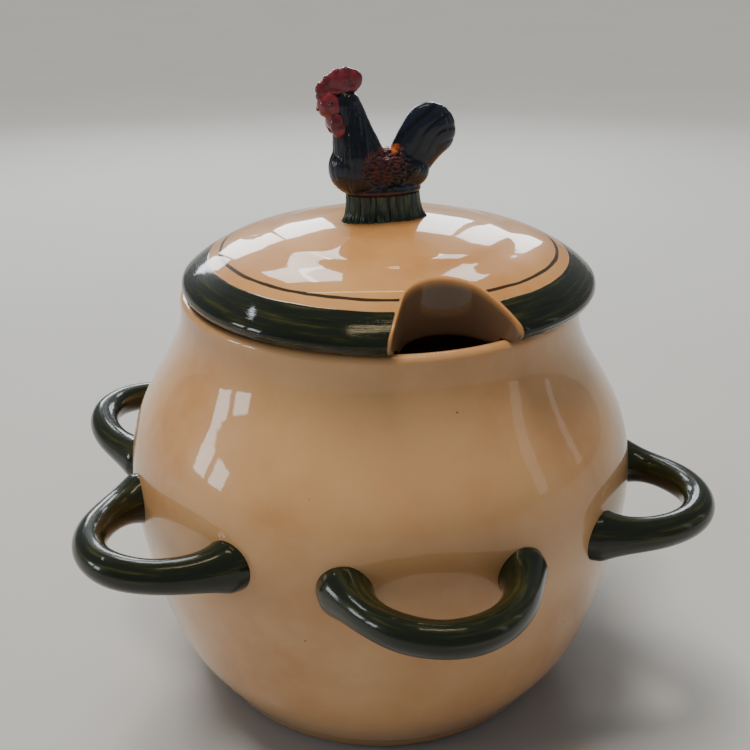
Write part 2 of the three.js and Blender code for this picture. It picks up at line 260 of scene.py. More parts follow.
def srgb(red, green, blue):
    """A linear colour from its 0 to 255 display values."""
    values = [v / 255 for v in (red, green, blue)]
    linear = [v / 12.92 if v <= 0.04045 else ((v + 0.055) / 1.055) ** 2.4 for v in values]
    return (*linear, 1.0)


class Glaze:
    """Builds one node material around a Principled shader."""

    def __init__(self, name, roughness, coat, coat_roughness, specular=0.5):
        self.material = bpy.data.materials.new(name)
        self.material.use_nodes = True
        self.tree = self.material.node_tree
        self.shader = self.tree.nodes["Principled BSDF"]
        self.shader.inputs["Roughness"].default_value = roughness
        self.shader.inputs["Coat Weight"].default_value = coat
        self.shader.inputs["Coat Roughness"].default_value = coat_roughness
        self.shader.inputs["Specular IOR Level"].default_value = specular

    def add(self, kind, inputs, **settings):
        """Adds a node. inputs maps socket names or numbers to values or to other sockets."""
        node = self.tree.nodes.new(kind)
        for key, value in settings.items():
            setattr(node, key, value)
        for key, value in inputs.items():
            if isinstance(value, bpy.types.NodeSocket):
                self.tree.links.new(value, node.inputs[key])
            else:
                node.inputs[key].default_value = value
        return node

    def place(self, stretch=(1, 1, 1)):
        """Position at rest in millimetres, scaled along each axis."""
        position = self.add("ShaderNodeTexCoord", {}).outputs["Object"]
        scale = [s / MM for s in stretch]
        scaled = self.add("ShaderNodeVectorMath", {0: position, 1: scale}, operation="MULTIPLY")
        return scaled.outputs[0]

    def attribute(self, name):
        return self.add("ShaderNodeAttribute", {}, attribute_name=name).outputs["Fac"]

    def vector_attribute(self, name, stretch):
        vector = self.add("ShaderNodeAttribute", {}, attribute_name=name).outputs["Vector"]
        return self.add("ShaderNodeVectorMath", {0: vector, 1: stretch}, operation="MULTIPLY").outputs[0]

    def noise(self, vector, size, detail=3.0, roughness=0.5):
        """Cloudy noise from 0 to 1 whose blotches are about size millimetres."""
        inputs = {"Vector": vector, "Scale": 1 / size, "Detail": detail, "Roughness": roughness}
        return self.add("ShaderNodeTexNoise", inputs).outputs["Fac"]

    def math(self, operation, a, b=0.0, c=0.0):
        inputs = {0: a, 1: b, 2: c}
        return self.add("ShaderNodeMath", inputs, operation=operation).outputs[0]

    def step(self, value, low, high):
        """0 below low, 1 above high and smooth between."""
        inputs = {"Value": value, "From Min": low, "From Max": high}
        node = self.add("ShaderNodeMapRange", inputs, interpolation_type="SMOOTHSTEP")
        return node.outputs["Result"]

    def mix(self, factor, a, b, blend="MIX"):
        node = self.add("ShaderNodeMix", {"Factor": factor}, data_type="RGBA", blend_type=blend)
        for socket, value in zip((node.inputs[6], node.inputs[7]), (a, b)):
            if isinstance(value, bpy.types.NodeSocket):
                self.tree.links.new(value, socket)
            else:
                socket.default_value = value
        return node.outputs[2]

    def colour(self, socket):
        self.tree.links.new(socket, self.shader.inputs["Base Color"])

    def roughness(self, socket):
        self.tree.links.new(socket, self.shader.inputs["Roughness"])

    def bump(self, height, distance, strength=1.0):
        """Raises the surface by distance millimetres where height is 1."""
        inputs = {"Height": height, "Distance": distance * MM, "Strength": strength}
        normal = self.add("ShaderNodeBump", inputs).outputs["Normal"]
        self.tree.links.new(normal, self.shader.inputs["Normal"])
        self.tree.links.new(normal, self.shader.inputs["Coat Normal"])


IVORY = srgb(218, 168, 114)
IVORY_WARM = srgb(202, 146, 92)
IVORY_PALE = srgb(222, 182, 136)
SPECK = srgb(84, 56, 36)
GREEN = srgb(20, 27, 12)
GREEN_LIGHT = srgb(68, 67, 26)
GREEN_DEEP = srgb(7, 11, 6)
# Painted shade for the notch's wall, which little light reaches
NOTCH_SHADE_BROWN = srgb(110, 90, 74)
# Painted shade: darkens and warms the lid's ivory against the pot's same glaze, to offset the stronger light on
# the lid
LID_SHADE_TINT = (1.0, 0.93, 0.78, 1.0)


def ivory_colour(glaze):
    """Cream glaze: cloudy, a little warmer where it is thin, with small iron specks."""
    place = glaze.place()
    cloud = glaze.step(glaze.noise(place, 70, 2), 0.35, 0.7)
    fine = glaze.step(glaze.noise(place, 9, 4), 0.3, 0.75)
    body = glaze.mix(cloud, IVORY, IVORY_WARM)
    body = glaze.mix(glaze.math("MULTIPLY", fine, 0.22), body, IVORY_PALE)
    cells = glaze.add("ShaderNodeTexVoronoi", {"Vector": place, "Scale": 1 / 13, "Randomness": 1.0})
    spot = glaze.step(cells.outputs["Distance"], 0.05, 0.022)
    chosen = glaze.step(glaze.noise(place, 21, 1), 0.55, 0.6)
    speck = glaze.math("MULTIPLY", spot, chosen)
    return glaze.mix(glaze.math("MULTIPLY", speck, 0.8), body, SPECK)


def ivory_bump(glaze):
    place = glaze.place()
    ripple = glaze.noise(place, 16, 2)
    grain = glaze.noise(place, 1.4, 2)
    glaze.bump(glaze.math("MULTIPLY_ADD", grain, 0.06, ripple), 0.10)


def ivory_glaze():
    glaze = Glaze("ivory_glaze", 0.34, 0.9, 0.04, 0.2)
    colour = ivory_colour(glaze)
    height = glaze.add("ShaderNodeSeparateXYZ", {0: glaze.place()}).outputs["Z"]
    foot = glaze.step(height, 10.5, 7.5)
    colour = glaze.mix(glaze.math("MULTIPLY", foot, 0.55), colour, srgb(150, 112, 74))
    glaze.colour(colour)
    ivory_bump(glaze)
    return glaze.material


def brushed_green(glaze, brush):
    """Dark green laid on by brush. brush runs along the stroke in x."""
    strokes = glaze.noise(brush, 1.0, 5, 0.62)
    thin = glaze.step(strokes, 0.48, 0.74)
    deep = glaze.step(strokes, 0.45, 0.25)
    colour = glaze.mix(glaze.math("MULTIPLY", thin, 0.75), GREEN, GREEN_LIGHT)
    return glaze.mix(deep, colour, GREEN_DEEP), strokes


def handle_glaze():
    glaze = Glaze("green_glaze", 0.3, 0.75, 0.05, 0.15)
    brush = glaze.vector_attribute("brush", (0.035, 0.42, 0.42))
    colour, strokes = brushed_green(glaze, brush)
    glaze.colour(colour)
    glaze.bump(strokes, 0.10)
    return glaze.material


def lid_glaze():
    """Ivory, with a green band round the rim, a thin green line inside it, and painted shade darkening the
    notch's wall.
    """
    glaze = Glaze("lid_glaze", 0.34, 0.9, 0.035, 0.05)
    place = glaze.place()
    wobble = glaze.math("MULTIPLY_ADD", glaze.noise(place, 26, 2), 1.5, -0.75)
    radius = glaze.math("ADD", glaze.attribute("paint_radius"), wobble)
    notch = glaze.attribute("notch_distance")
    inner = glaze.math("SUBTRACT", radius, BAND_START)
    beside = glaze.math("SUBTRACT", glaze.math("MULTIPLY_ADD", wobble, 0.4, notch), 1.3)
    band = glaze.step(glaze.math("SMOOTH_MIN", inner, beside, 2.0), -0.25, 0.25)
    from_line = glaze.math("ABSOLUTE", glaze.math("SUBTRACT", radius, LINE_RADIUS))
    width = glaze.math("MULTIPLY_ADD", glaze.noise(place, 12, 2), 0.7, 0.4)
    line = glaze.step(glaze.math("SUBTRACT", from_line, width), 0.28, -0.12)
    line = glaze.math("MULTIPLY", line, glaze.step(notch, 0.8, 1.6))
    brush = glaze.vector_attribute("brush", (0.03, 0.42, 0.42))
    green, strokes = brushed_green(glaze, brush)
    # The lid's ivory is painted darker and warmer than the pot's: painted shade for the brighter light on the
    # lid
    body = glaze.mix(1.0, ivory_colour(glaze), LID_SHADE_TINT, "MULTIPLY")
    # The notch's wall is painted dark brown: painted shade, not a glaze colour
    body = glaze.mix(glaze.math("MULTIPLY", glaze.attribute("wall"), 0.9), body, NOTCH_SHADE_BROWN)
    colour = glaze.mix(glaze.math("MULTIPLY", line, 0.95), body, srgb(20, 17, 7))
    glaze.colour(glaze.mix(band, colour, green))
    ripple = glaze.math("MULTIPLY", glaze.noise(place, 16, 2), 0.9)
    raised = glaze.math("MULTIPLY", glaze.math("ADD", strokes, 0.6), band)
    glaze.bump(glaze.math("ADD", ripple, raised), 0.10)
    return glaze.material


def grass_glaze():
    glaze = Glaze("grass_glaze", 0.3, 0.7, 0.05, 0.15)
    place = glaze.place((1, 1, 0.2))
    streak = glaze.noise(place, 1.6, 3)
    ridge = glaze.attribute("ridge")
    green = glaze.mix(glaze.step(streak, 0.4, 0.75), srgb(24, 40, 27), srgb(76, 92, 58))
    # The gaps between the blades are painted near-black: painted shade
    glaze.colour(glaze.mix(glaze.step(ridge, 0.75, 0.1), green, srgb(6, 10, 6)))
    glaze.bump(streak, 0.12)
    return glaze.material


def plumage_glaze():
    """Blue-black feathers with a painted maroon saddle and a touch of orange."""
    glaze = Glaze("plumage_glaze", 0.3, 0.75, 0.05, 0.15)
    place = glaze.place()
    dab = glaze.noise(place, 3.2, 4, 0.65)
    dark = glaze.mix(glaze.step(dab, 0.35, 0.7), srgb(5, 9, 17), srgb(14, 23, 38))
    rust = glaze.mix(glaze.step(dab, 0.3, 0.7), srgb(44, 17, 19), srgb(104, 40, 35))
    orange = glaze.math("MULTIPLY", glaze.attribute("orange"), glaze.step(dab, 0.3, 0.62))
    rust = glaze.mix(orange, rust, srgb(206, 104, 42))
    amount = glaze.math("MULTIPLY_ADD", glaze.math("SUBTRACT", dab, 0.5), 1.1, glaze.attribute("rust"))
    colour = glaze.mix(glaze.step(amount, 0.35, 0.75), dark, rust)
    relief = glaze.attribute("relief")
    proud = glaze.math("MULTIPLY", glaze.step(relief, 0.72, 1.0), 0.4)
    colour = glaze.mix(proud, colour, srgb(40, 50, 72))
    groove = glaze.step(relief, 0.45, 0.05)
    glaze.colour(glaze.mix(glaze.math("MULTIPLY", groove, 0.6), colour, srgb(7, 7, 9)))
    glaze.bump(dab, 0.06)
    return glaze.material


def red_glaze():
    glaze = Glaze("comb_glaze", 0.32, 0.8, 0.05, 0.2)
    place = glaze.place()
    dab = glaze.noise(place, 4.5, 4, 0.6)
    grain = glaze.noise(place, 0.9, 2)
    red = glaze.mix(glaze.step(dab, 0.3, 0.72), srgb(84, 25, 40), srgb(144, 48, 58))
    glaze.colour(red)
    glaze.bump(glaze.math("ADD", dab, glaze.math("MULTIPLY", grain, 0.5)), 0.12)
    return glaze.material


def beak_glaze():
    glaze = Glaze("beak_glaze", 0.32, 1.0, 0.05)
    dab = glaze.noise(glaze.place(), 2.0, 3)
    glaze.colour(glaze.mix(dab, srgb(104, 38, 32), srgb(150, 74, 50)))
    glaze.bump(dab, 0.05)
    return glaze.material


def eye_glaze():
    glaze = Glaze("eye_glaze", 0.2, 1.0, 0.03)
    dab = glaze.noise(glaze.place(), 0.8, 2)
    glaze.colour(glaze.mix(dab, srgb(8, 8, 8), srgb(30, 26, 18)))
    return glaze.material


def floor_paint():
    glaze = Glaze("floor_paint", 0.75, 0.0, 0.5, 0.2)
    cloud = glaze.noise(glaze.place(), 300, 3)
    glaze.colour(glaze.mix(cloud, srgb(180, 180, 178), srgb(188, 188, 186)))
    return glaze.material


# ---------------------------------------------------------------- pot


def pot_outline():
    """The pot's (radius, height) outline from the middle of its foot to that of its floor."""
    foot = evenly(FOOT_OUTLINE[4:], 14)
    under = np.array(FOOT_OUTLINE[:4])
    outside = evenly(POT_OUTLINE, 150)
    along = np.gradient(outside, axis=0)
    along /= np.linalg.norm(along, axis=1)[:, None]
    inward = np.stack([-along[:, 1], along[:, 0]], axis=1)
    inside = (outside + inward * WALL)[::-2]
    inside = inside[inside[:, 1] > FLOOR + 2.5]
    roll = WALL / 2 + 0.2
    angle = np.radians(np.linspace(8, 172, 15))
    lip = np.stack([np.cos(angle), np.sin(angle)], axis=1) * roll
    lip += (outside[-1][0] - roll, LIP - roll)
    floor = [(inside[-1][0] - 4, FLOOR + 0.5), (inside[-1][0] - 10, FLOOR), (0, FLOOR)]
    groove = np.array(FOOT_GROOVE)
    return np.vstack([under, foot, groove, outside, lip, inside, floor])


def hand_made(points, amount, size):
    """Moves points by a slow wobble, as a hand-finished surface has."""
    moved = np.array(points, float)
    for i, point in enumerate(moved):
        moved[i] = point + Vector(noise.noise_vector(Vector(point) / size)) * amount
    return moved


def make_pot(material):
    points, faces = turned(pot_outline(), POT_SIDES)
    steady = smoothstep(0, 30, points[:, 2])[:, None]
    steady = steady * (1 - smoothstep(LIP - 30, LIP - 4, points[:, 2]))[:, None]
    points = points + (hand_made(points, 0.9, 90) - points) * steady
    add_piece("glazed_pot", make_mesh(points, faces), material, "pot", ["pot_body"])


# ---------------------------------------------------------------- handles


def sweep(centres, radii, sides, flatness=1.0):
    """Points, faces and directions round a bar that follows centres."""
    centres = np.asarray(centres, float)
    along = np.gradient(centres, axis=0)
    along /= np.linalg.norm(along, axis=1)[:, None]
    plane = np.linalg.svd(centres - centres.mean(0))[2][2]
    across = np.cross(along, plane)
    across /= np.linalg.norm(across, axis=1)[:, None]
    third = np.cross(along, across)
    angle = np.linspace(0, 2 * np.pi, sides, endpoint=False)
    cosine, sine = np.cos(angle)[None, :, None], np.sin(angle)[None, :, None]
    ring = across[:, None] * cosine + third[:, None] * sine * flatness
    points = centres[:, None] + ring * np.asarray(radii, float)[:, None, None]
    faces = grid_faces(len(centres), sides, closed_columns=True).tolist()
    faces.append(list(range(sides)))
    faces.append(list(range((len(centres) - 1) * sides, len(centres) * sides)))
    return points.reshape(-1, 3), faces, angle


def handle_centres(height, tilt, count):
    """The centreline of a handle that points along -Y, and the length along it."""
    angle = np.linspace(0, np.pi, 400)
    out = HANDLE_REACH * np.sin(angle)
    away = -HANDLE_START - out * math.cos(tilt)
    line = np.stack([-HANDLE_HALF_WIDTH * np.cos(angle), away, height + out * math.sin(tilt)], axis=1)
    length = np.r_[0, np.cumsum(np.linalg.norm(np.diff(line, axis=0), axis=1))]
    along = np.linspace(0, length[-1], count)
    return np.stack([np.interp(along, length, column) for column in line.T], axis=1), along


def handle_radii(along, seed):
    """The bar's radius along a handle: trumpet ends at the wall and a hand-pulled middle."""
    buried = BELLY - HANDLE_START - 5.5
    from_wall = np.minimum(along, along[-1] - along) - buried
    flare = HANDLE_FLARE * np.exp(-((np.maximum(from_wall, 0) / HANDLE_FLARE_LENGTH) ** 1.2))
    pull = np.array([noise.noise(Vector((s / 22, seed, 0))) for s in along])
    return HANDLE_BAR + flare + 0.35 * pull


def make_handles(material):
    sides, count = 44, 150
    for i, (name, (height, tilt)) in enumerate(HANDLES.items()):
        centres, along = handle_centres(height, math.radians(tilt), count)
        points, faces, angle = sweep(centres, handle_radii(along, 7.3 * i), sides)
        from_axis = np.hypot(points[:, 0], points[:, 1])
        points[:, :2] *= np.maximum(1, HANDLE_ROOT / from_axis)[:, None]
        round_bar = np.stack([np.cos(angle), np.sin(angle)], axis=1) * HANDLE_BAR
        stroke = np.repeat(along + 2 * along[-1] * i, sides)
        brush = np.column_stack([stroke, np.tile(round_bar, (count, 1))])
        placed = turn(points, i * 2 * math.pi / len(HANDLES))
        mesh = make_mesh(placed, faces, {"brush": brush})
        add_piece(f"glazed_handle_{name}", mesh, material, "pot", [f"handle_{name}"])


# ---------------------------------------------------------------- lid

lid_top = graph(LID_TOP)
lid_underside = graph(LID_UNDERSIDE)


def notch_distance(x, y):
    """Distance in plan from the notch's edge, positive on the lid's side."""
    u, v = np.abs(x), y + NOTCH_CENTRE
    c, s = math.cos(NOTCH_FLARE), math.sin(NOTCH_FLARE)
    past_circle = v * c - u * s > 0
    return np.where(past_circle, np.hypot(u, v), u * c + v * s) - NOTCH_RADIUS


def lid_edge(angle):
    """How far the lid reaches from its axis at each angle from the notch's middle."""
    corner = 1.1
    low, high = np.full_like(angle, 50.0), np.full_like(angle, LID_RADIUS + 0.5)
    for _ in range(40):
        middle = (low + high) / 2
        beside = notch_distance(middle * np.sin(angle), -middle * np.cos(angle))
        inside = LID_RADIUS - middle
        both = -corner * np.logaddexp(-beside / corner, -inside / corner)
        low, high = np.where(both > 0, middle, low), np.where(both > 0, high, middle)
    return low


def lid_columns():
    half = np.degrees(NOTCH_FLARE) / 3
    angle = np.concatenate([np.linspace(0, half, 20), np.linspace(half, 21, 64)[1:]])
    angle = np.radians(np.concatenate([angle, np.linspace(21, 180, 130)[1:]]))
    return np.concatenate([angle, -angle[-2:0:-1]])


def arc(centre_r, centre_z, radius, start, end, count):
    """Rows of (r, z) along an arc, its angles measured up from the outward direction."""
    t = np.linspace(0, 1, count)[None, :]
    a = start[:, None] * (1 - t) + end * t
    return centre_r[:, None] + radius[:, None] * np.cos(a), centre_z[:, None] + radius[:, None] * np.sin(a)


def straight(r0, z0, r1, z1, count):
    """Rows of (r, z) strictly between two points."""
    t = np.linspace(0, 1, count + 2)[None, 1:-1]
    return r0[:, None] * (1 - t) + r1[:, None] * t, z0[:, None] * (1 - t) + z1[:, None] * t


def lid_profiles(angle):
    """The lid's closed outline on each ray from its axis.

    Gives r, z, how many stations may be painted, and how much painted shade each takes from how far it is down
    the notch's wall.
    """
    edge = lid_edge(angle)
    rimness = smoothstep(97, 101.5, edge)
    on_rim = smoothstep(101.0, 101.9, edge)
    roll = NOTCH_EDGE + (RIM_ROLL - NOTCH_EDGE) * rimness
    start = edge - roll
    for _ in range(30):
        lean = np.arctan(lid_top(start - 0.5) - lid_top(start + 0.5))
        start = edge - roll * (1 - np.sin(lean))
    upper_z = lid_top(start) - roll * np.cos(lean)
    bottom = NOTCH_WALL_BOTTOM + (SEAT - NOTCH_WALL_BOTTOM) * smoothstep(89.2, 92.6, edge)
    lower_roll = 1.8 + (RIM_ROLL - 0.6 - 1.8) * rimness
    beside = notch_distance((edge - 1) * np.sin(angle), -(edge - 1) * np.cos(angle))
    squareness = np.clip(beside, 0.32, 1)
    wall = NOTCH_WALL / squareness
    inner = np.minimum(SEAT_INNER, edge - wall)
    inner = np.where(edge > 99, SEAT_INNER, inner)
    roof_start = inner - 3
    t = np.linspace(0, 1, 66)[None, :-1]
    rows = [(start[:, None] * t, lid_top(start[:, None] * t))]
    full = np.pi / 2
    rows.append(arc(edge - roll, upper_z, roll, full - lean, 0.0, 10))
    rows.append(straight(edge, upper_z, edge, bottom + lower_roll, 14))
    zero = np.zeros_like(edge)
    rows.append(arc(edge - lower_roll, bottom + lower_roll, lower_roll, zero, -full, 7))
    painted = sum(r.shape[1] for r, _ in rows)
    rows.append(straight(edge - lower_roll, bottom, inner + 1, bottom, 3))
    rows.append(arc(inner + 1, bottom + 1, zero + 1, zero - full, -np.pi, 4))
    rows.append(straight(inner, bottom + 1, inner, lid_underside(inner) - 3, 6))
    bend = np.linspace(0, 1, 6)[None, :]
    bend_r = inner[:, None] - 3 * (1 - np.cos(bend * full))
    bend_z = (lid_underside(inner) - 3)[:, None] + (lid_underside(roof_start) - lid_underside(inner) + 3)[:, None] * np.sin(bend * full)
    rows.append((bend_r, bend_z))
    back = np.linspace(1, 0, 28)[None, 1:]
    rows.append((roof_start[:, None] * back, lid_underside(roof_start[:, None] * back)))
    r = np.concatenate([row[0] for row in rows], axis=1)
    z = np.concatenate([row[1] for row in rows], axis=1)
    # Painted shade: darkening down the notch's wall, less on the rim
    wall = smoothstep(-0.5, 2.5, upper_z[:, None] - z) * (1 - on_rim)[:, None]
    return r, z, painted, wall


def make_lid(material):
    angle = lid_columns()
    r, z, painted, wall = lid_profiles(angle)
    x, y = r * np.sin(angle)[:, None], -r * np.cos(angle)[:, None]
    points = np.stack([x, y, z], axis=-1).reshape(-1, 3)
    columns, stations = r.shape
    faces = grid_faces(columns, stations, closed_rows=True)
    paint = r.copy()
    paint[:, painted:] = 0
    sweep_angle = np.where(angle < 0, angle + 2 * np.pi, angle)[:, None]
    brush = np.stack([sweep_angle * LID_RADIUS + 0 * r, r, z], axis=-1).reshape(-1, 3)
    attributes = {
        "paint_radius": paint.ravel(),
        "notch_distance": notch_distance(x, y).ravel(),
        # how much painted shade darkens the notch's wall
        "wall": wall.ravel(),
        "brush": brush,
    }
    mesh = make_mesh(on_axis(points, LID_AXIS), faces, attributes)
    add_piece("glazed_lid", mesh, material, "lid", ["lid_shell", "lid_notch_wall"])


def make_flange(material):
    """The ring under the lid, with round ends beside the notch."""
    gap = math.radians(22)
    angle = np.linspace(gap, 2 * np.pi - gap, 220)
    inner, outer = FLANGE
    middle, half = (inner + outer) / 2, (outer - inner) / 2
    depth = SEAT - FLANGE_BOTTOM + 1
    side = np.linspace(0, 2 * np.pi, 28, endpoint=False)
    squared = lambda v: np.sign(v) * np.abs(v) ** 0.45
    end = np.minimum(angle - angle[0], angle[-1] - angle) * middle
    swell = np.sqrt(np.clip(1 - (1 - np.clip(end / half, 0, 1)) ** 2, 0, 1))[:, None]
    r = middle + half * squared(np.cos(side))[None] * swell
    z = FLANGE_BOTTOM + depth / 2 + depth / 2 * squared(np.sin(side))[None] * (0.4 + 0.6 * swell)
    x, y = r * np.sin(angle)[:, None], -r * np.cos(angle)[:, None]
    points = np.stack([x, y, z], axis=-1).reshape(-1, 3)
    faces = grid_faces(len(angle), len(side), closed_columns=True).tolist()
    faces.append(list(range(len(side))))
    faces.append(list(range((len(angle) - 1) * len(side), len(angle) * len(side))))
    mesh = make_mesh(on_axis(points, LID_AXIS), faces)
    add_piece("glazed_flange", mesh, material, "lid", ["lid_flange"])


# ---------------------------------------------------------------- grass


def make_grass(material):
    """An oval tuft: a drum whose side is a ring of upright blades."""
    rng = np.random.default_rng(7)
    sides, rows = 560, 30
    theta = np.linspace(0, 2 * np.pi, sides, endpoint=False)
    spacing = 2 * np.pi / GRASS_BLADES
    centre = (np.arange(GRASS_BLADES) + rng.uniform(-0.3, 0.3, GRASS_BLADES)) * spacing
    lean = rng.uniform(-0.07, 0.07, GRASS_BLADES)
    proud = rng.uniform(0.3, 1.0, GRASS_BLADES)
    foot = rng.uniform(-0.5, 1.2, GRASS_BLADES)
    up = np.linspace(0, 1, rows)[:, None]
    best = np.zeros((rows, sides))
    ridge = np.zeros((rows, sides))
    spread = np.zeros((rows, sides))
    for i in range(GRASS_BLADES):
        away = theta[None] - centre[i] - lean[i] * (up - 0.4)
        away = (away + np.pi) % (2 * np.pi) - np.pi
        shape = np.clip(1 - np.abs(away / (0.62 * spacing)) ** 3, 0, 1)
        height = shape * (0.5 + 0.5 * proud[i])
        taken = height > best
        best = np.where(taken, height, best)
        ridge = np.where(taken, shape, ridge)
        spread = np.where(taken, foot[i] * shape, spread)
    flare = 0.80 + 0.10 * (1 - up) ** 2 + 0.06 * (1 - up) ** 7
    out = 0.9 * best + spread * (1 - up) ** 5
    x = (GRASS_SIZE[0] * flare + out) * np.cos(theta) - 0.8 * up
    y = (GRASS_SIZE[1] * flare + out) * np.sin(theta)
    ground = lid_top(np.hypot(x, y)) - 0.4
    z = ground * (1 - up) + GRASS_TOP * up

    def cap(row, share, level):
        """One end of the drum, drawn in to a share of its size."""
        return np.column_stack([x[row] * share, y[row] * share, np.broadcast_to(level, sides)])

    low = ground[0].min()
    side = np.stack([x, y, z], axis=-1)
    layers = np.stack([cap(0, 0, low), cap(0, 0.7, low), *side, cap(-1, 0.8, GRASS_TOP), cap(-1, 0, GRASS_TOP)])
    # 1 on the caps and the blades' middles, falling to 0 in the gaps, which the grass glaze paints near-black
    # as shade
    shade = np.ones(layers.shape[:2])
    shade[2:-2] = ridge
    faces = grid_faces(*layers.shape[:2], closed_columns=True)
    placed = on_axis(layers.reshape(-1, 3), FINIAL_AXIS)
    mesh = make_mesh(placed, faces, {"ridge": shade.ravel()})
    add_piece("grass_tuft", mesh, material, "lid", ["grass_base"])


# ---------------------------------------------------------------- rooster


def ball(centre, radii, sides=40):
    """A stretched ball."""
    rise = np.linspace(-np.pi / 2, np.pi / 2, sides // 2 + 1)
    outline = np.stack([np.cos(rise), np.sin(rise)], axis=1)
    points, faces = turned(outline, sides)
    return points * np.asarray(radii, float) + np.asarray(centre, float), faces.tolist()


def limb(spine, radii, flatness):
    """A rounded limb along (x, z) points: a tapering bar with a ball at each end."""
    along = np.linspace(0, 1, 24)
    line = spline(spine)(along)
    line = np.stack([line[:, 0], 0 * line[:, 0], line[:, 1]], axis=1)
    widths = np.interp(along, np.linspace(0, 1, len(spine)), radii)
    points, faces, _ = sweep(line, widths, 40, flatness)
    ends = [ball(line[k], (widths[k], widths[k] * flatness, widths[k])) for k in (0, -1)]
    return [(points, faces), *ends]


def sculpt(shapes, voxel, smoothing):
    """One closed skin round overlapping shapes, smoothed where they meet."""
    points, faces, count = [], [], 0
    for shape_points, shape_faces in shapes:
        points.append(shape_points)
        faces += [[count + k for k in face] for face in shape_faces]
        count += len(shape_points)
    mesh = bpy.data.meshes.new("clay")
    mesh.from_pydata((np.vstack(points) * MM).tolist(), [], faces)
    clay = bpy.data.objects.new("clay", mesh)
    bpy.context.scene.collection.objects.link(clay)
    remesh = clay.modifiers.new("skin", "REMESH")
    remesh.mode = "VOXEL"
    remesh.voxel_size = voxel * MM
    smooth = clay.modifiers.new("smooth", "SMOOTH")
    smooth.factor = 0.5
    smooth.iterations = smoothing
    finished = clay.evaluated_get(bpy.context.evaluated_depsgraph_get())
    skin = bpy.data.meshes.new_from_object(finished)
    bpy.data.objects.remove(clay)
    skin.polygons.foreach_set("use_smooth", [True] * len(skin.polygons))
    return skin


def skin_arrays(mesh):
    """Vertex places in millimetres and their normals."""
    places = np.zeros(len(mesh.vertices) * 3, np.float32)
    normals = np.zeros(len(mesh.vertices) * 3, np.float32)
    mesh.vertices.foreach_get("co", places)
    mesh.vertices.foreach_get("normal", normals)
    return places.reshape(-1, 3).astype(float) / MM, normals.reshape(-1, 3).astype(float)


def carve(mesh, height, attributes):
    """Raises each vertex by height millimetres and places the mesh on the lid."""
    places, normals = skin_arrays(mesh)
    raised = places + normals * np.reshape(height, (-1, 1))
    placed = on_axis(raised, FINIAL_AXIS) * MM
    mesh.vertices.foreach_set("co", placed.astype(np.float32).ravel())
    set_attributes(mesh, attributes)
    mesh.update()
    return mesh


def noise_at(places, size, seed):
    """Smooth noise, from -1 to 1, at each place; size is one number or one per axis."""
    scaled = places / size + seed
    return np.array([noise.noise(Vector(place)) for place in scaled])


def pebbles(u, v, size):
    """Rounded lumps scattered evenly: 1 on their tops and 0 in the gaps between them."""
    rng = np.random.default_rng(11)
    jitter = rng.uniform(0.16, 0.84, (64, 64, 2))
    u, v = u / size, v / size
    column, row = np.floor(u).astype(int), np.floor(v).astype(int)
    distances = []
    for i in (-1, 0, 1):
        for j in (-1, 0, 1):
            middle = jitter[(column + i) % 64, (row + j) % 64]
            distances.append(np.hypot(column + i + middle[:, 0] - u, row + j + middle[:, 1] - v))
    nearest, second = np.sort(distances, axis=0)[:2]
    return smoothstep(0.0, 0.6, second - nearest) * (1 - 0.6 * smoothstep(0.3, 0.9, nearest))


def near(places, centre, radii):
    """1 at an (x, z) centre, falling to 0 at radii from it."""
    d = np.hypot((places[:, 0] - centre[0]) / radii[0], (places[:, 2] - centre[1]) / radii[1])
    return 1 - smoothstep(0.35, 1.0, d)


NECK_SPINE = [(-12, 274), (-14, 284), (-15.8, 292), (-17.3, 299), (-18.8, 304)]
NECK_RADII = [13.0, 12.2, 10.2, 8.3, 6.9]
TAIL_SPINE = [(8, 271.5), (12, 276.8), (15.6, 281.9), (19, 286.4), (22.2, 290.2)]
TAIL_RADII = [10.6, 11.3, 11.8, 12.6, 13.4]


def flank(places):
    """1 on the folded wing, falling to 0 round it."""
    return near(places, (-0.5, 274.4), (17.5, 11))


def paint_zones(places, relief):
    """Where the plumage is painted maroon and orange, and how deep its grooves are."""
    saddle = near(places, (-3, 276.5), (18, 13))
    hem = near(places, (-5, 262.3), (20, 3.2))
    tail_edge = 0.4 * near(places, (9.0, 287), (3.5, 8))
    orange = near(places, (5.2, 283.6), (5.2, 3.2))
    rust = np.max([0.8 * saddle, 0.8 * hem, tail_edge, 0.9 * orange], axis=0)
    return {"rust": rust, "orange": orange, "relief": relief}


def plumage_relief(places):
    """Fine hackles on the neck and breast, lumpy wing feathers and long ones on the tail."""
    x, y, z = places.T
    round_body = np.degrees(np.arctan2(y, -(x + 14))) * 0.14
    strokes = np.abs(noise_at(np.column_stack([round_body, z, 0 * z]), (0.8, 16, 1), 3.1))
    hackle = 1 - 1.5 * strokes * (0.45 + 0.55 * smoothstep(274, 286, z))
    sickle = np.hypot(x - 40, z - 268) + 2.6 * noise_at(places, 13, 8.2)
    tail = 1 - 0.5 * np.abs(np.sin(sickle * 0.55)) ** 8
    on_tail = smoothstep(2, 8, x) * smoothstep(277, 284, z)
    body = tail * on_tail + hackle * (1 - on_tail)
    wander = 2.6 * noise_at(places, 5.0, 5.7)
    lumps = pebbles(0.72 * (x + 0.5 * z) + 60 + wander, 1.1 * (z - 0.3 * x) - wander, 3.0)
    on_wing = smoothstep(0.1, 0.5, flank(places))
    return lumps * on_wing + body * (1 - on_wing)


def feathered(mesh):
    """Carves the feathers into a skin and puts it on the lid."""
    places, _ = skin_arrays(mesh)
    relief = plumage_relief(places)
    depth = 0.5 + 0.5 * smoothstep(0.1, 0.5, flank(places))
    return carve(mesh, depth * (relief - 0.6), paint_zones(places, relief))


